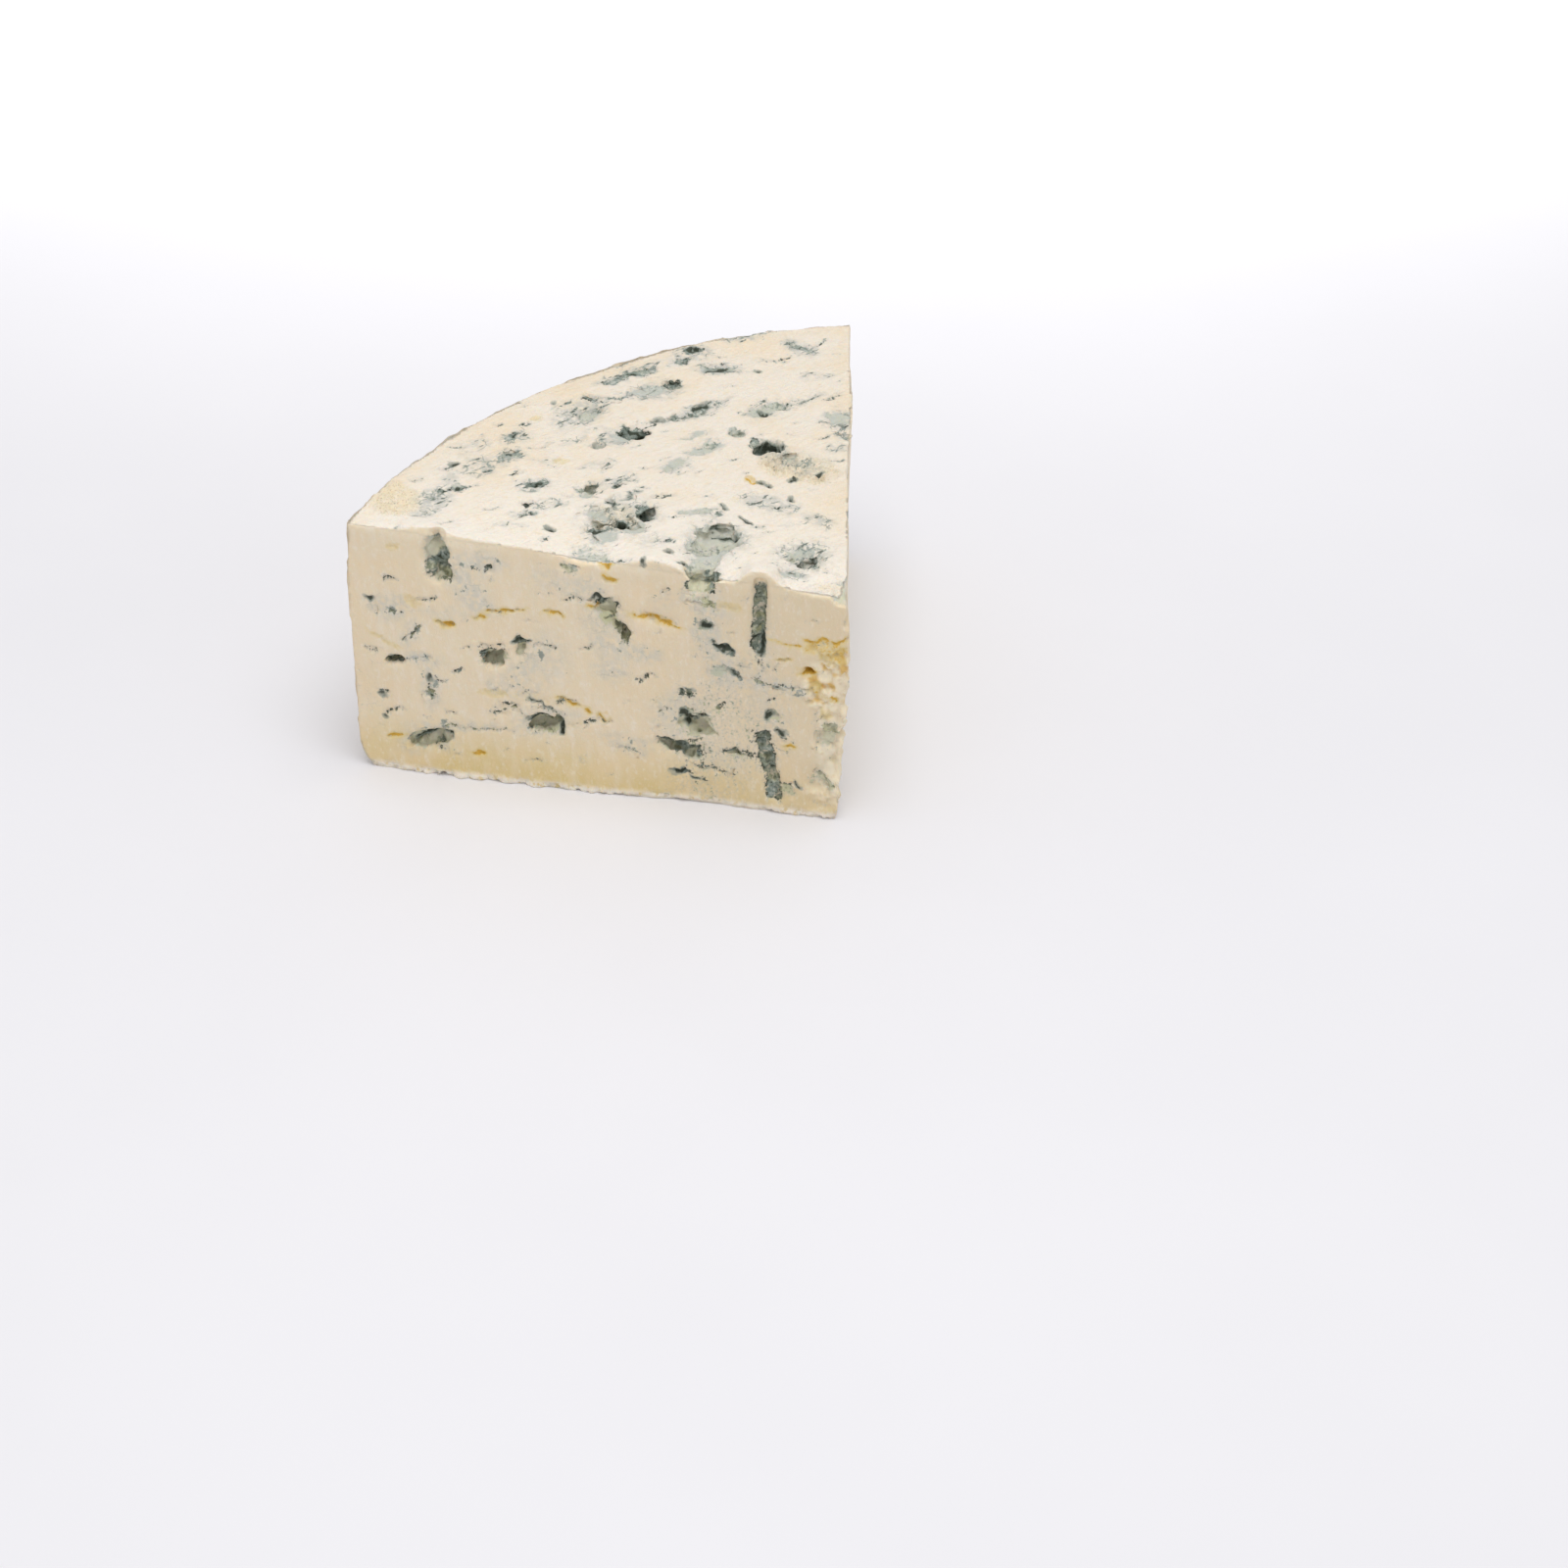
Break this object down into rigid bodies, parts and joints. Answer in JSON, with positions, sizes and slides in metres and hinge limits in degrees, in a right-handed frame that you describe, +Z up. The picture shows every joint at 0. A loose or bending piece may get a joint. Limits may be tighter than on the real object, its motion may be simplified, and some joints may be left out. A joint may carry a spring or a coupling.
{
  "type": "blue cheese wedge",
  "caption": "Wedge of blue-veined cheese with two upright knife cuts, a cut top, a curved rind side and open mould pockets.",
  "frame": {"origin": "centre of the bounding box's underside, on the flat face that the wedge rests on", "axes": "+Z up out of the resting face; +Y away from the viewer, along the right-hand cut; +X to the viewer's right, so the tip points to +X and -Y and the rind faces -X and +Y"},
  "size_m": [0.1502, 0.1518, 0.0898],
  "materials": {
    "paste": "soft, moist cream paste with blue-green mould veins"
  },
  "bodies": {
    "root": {"cheese_wedge": "paste"}
  },
  "joints": []
}
